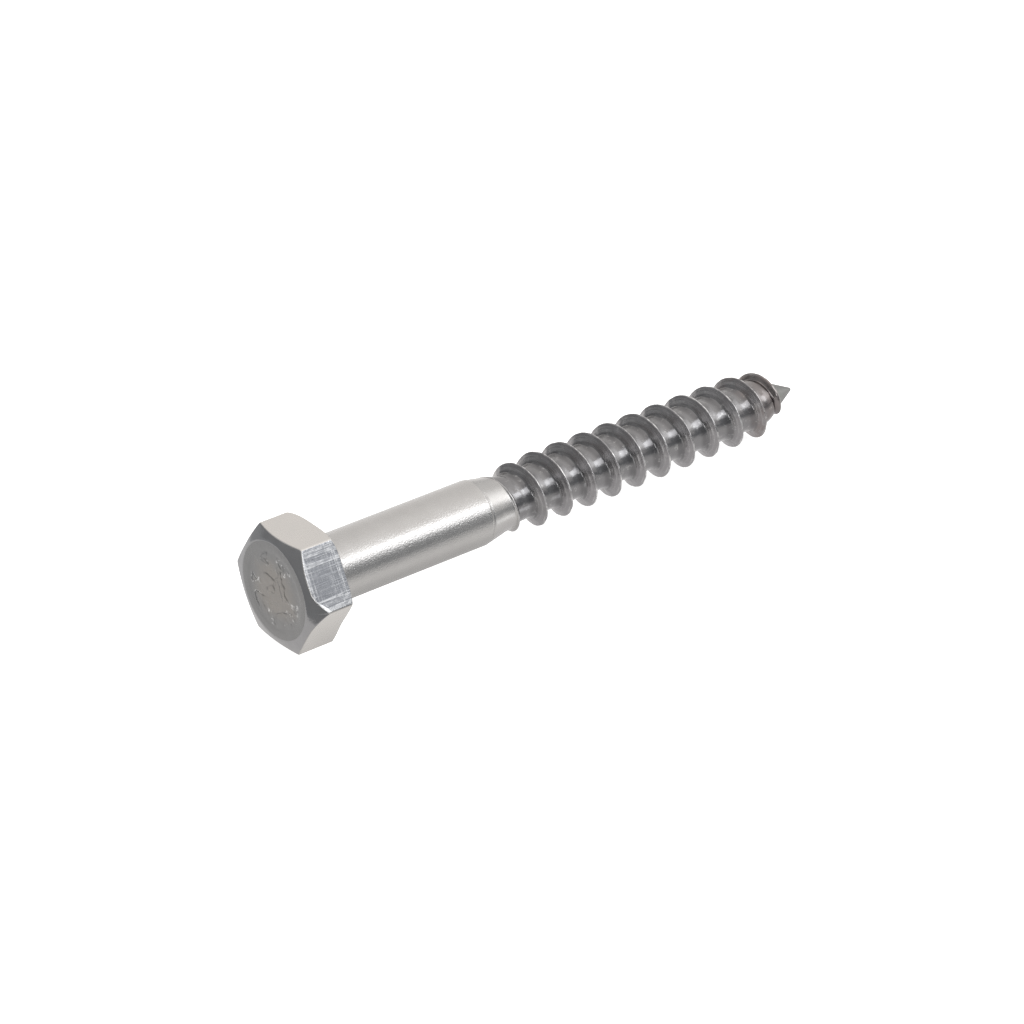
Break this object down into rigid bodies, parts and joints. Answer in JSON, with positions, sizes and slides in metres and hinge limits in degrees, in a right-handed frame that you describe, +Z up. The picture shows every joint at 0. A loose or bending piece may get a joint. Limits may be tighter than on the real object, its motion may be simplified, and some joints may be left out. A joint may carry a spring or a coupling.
{
  "type": "lag screw",
  "caption": "Hex-head lag screw with a plain shank, a coarse right-hand wood thread and a gimlet point, driven with a spanner.",
  "frame": {"origin": "centre of the bearing face under the head, on the screw's axis", "axes": "+X runs along the screw towards its point, dipping by the angle at which it rests; +Z is up, with the screw lying on one flat of its head and on a crest of its thread"},
  "size_m": [0.0747, 0.015, 0.0132],
  "materials": {
    "stainless_steel": "satin, cold-formed, with fine handling scratches"
  },
  "bodies": {
    "root": {"lag_screw": "stainless_steel"}
  },
  "joints": []
}
